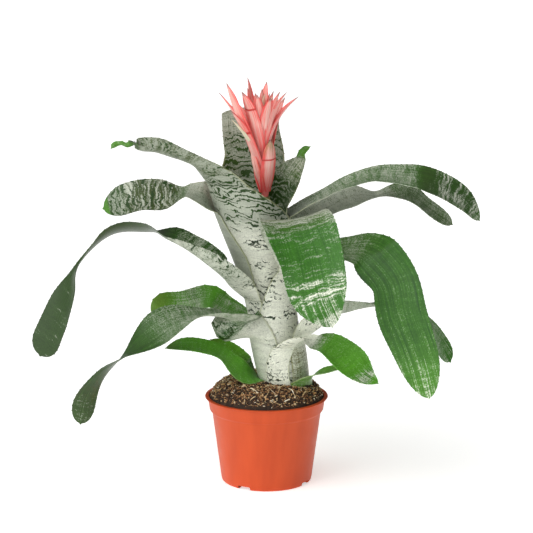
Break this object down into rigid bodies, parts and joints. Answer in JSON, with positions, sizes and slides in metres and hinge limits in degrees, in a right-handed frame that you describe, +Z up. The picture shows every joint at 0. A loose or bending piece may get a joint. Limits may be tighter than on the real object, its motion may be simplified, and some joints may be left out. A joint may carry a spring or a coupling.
{
  "type": "potted silver vase plant",
  "caption": "Potted bromeliad: a leaning vase of arching silver-banded leaves round a pink flower head, in a round tapered nursery pot with a rim band.",
  "frame": {"origin": "centre of the pot's underside, on the surface that it stands on", "axes": "+Z up, +X to the viewer's right along the plant's widest spread, -Y towards the viewer"},
  "size_m": [0.5494, 0.3608, 0.5011],
  "materials": {
    "pot_plastic": "satin moulded plastic",
    "soil": "loose peat and fibre",
    "stem": "matt",
    "bract_pink": "matt, waxy",
    "leaf_green": "glossy green with silver bands",
    "leaf_bright": "glossy bright green",
    "leaf_grey": "scurfy silver bands on grey green",
    "old_green": "dull old leaf"
  },
  "bodies": {
    "root": {"pot": "pot_plastic", "soil": "soil", "stem": "stem", "flower_head": "bract_pink", "leaf_old_left": "old_green", "leaf_old_right": "old_green", "leaf_back_low": "leaf_green", "leaf_small_left": "leaf_bright", "leaf_low_front": "leaf_bright", "leaf_low_left": "leaf_green", "leaf_tucked_right": "leaf_green", "leaf_back_mid": "leaf_green", "leaf_front": "leaf_green", "leaf_tucked_left": "leaf_bright", "leaf_long_left": "leaf_grey", "leaf_long_right": "leaf_bright", "leaf_upper_left": "leaf_grey", "leaf_upper_right": "leaf_grey", "leaf_top_left": "leaf_grey", "leaf_top_right": "leaf_green", "leaf_upright_right": "leaf_grey", "leaf_upright_back": "leaf_grey"}
  },
  "joints": []
}
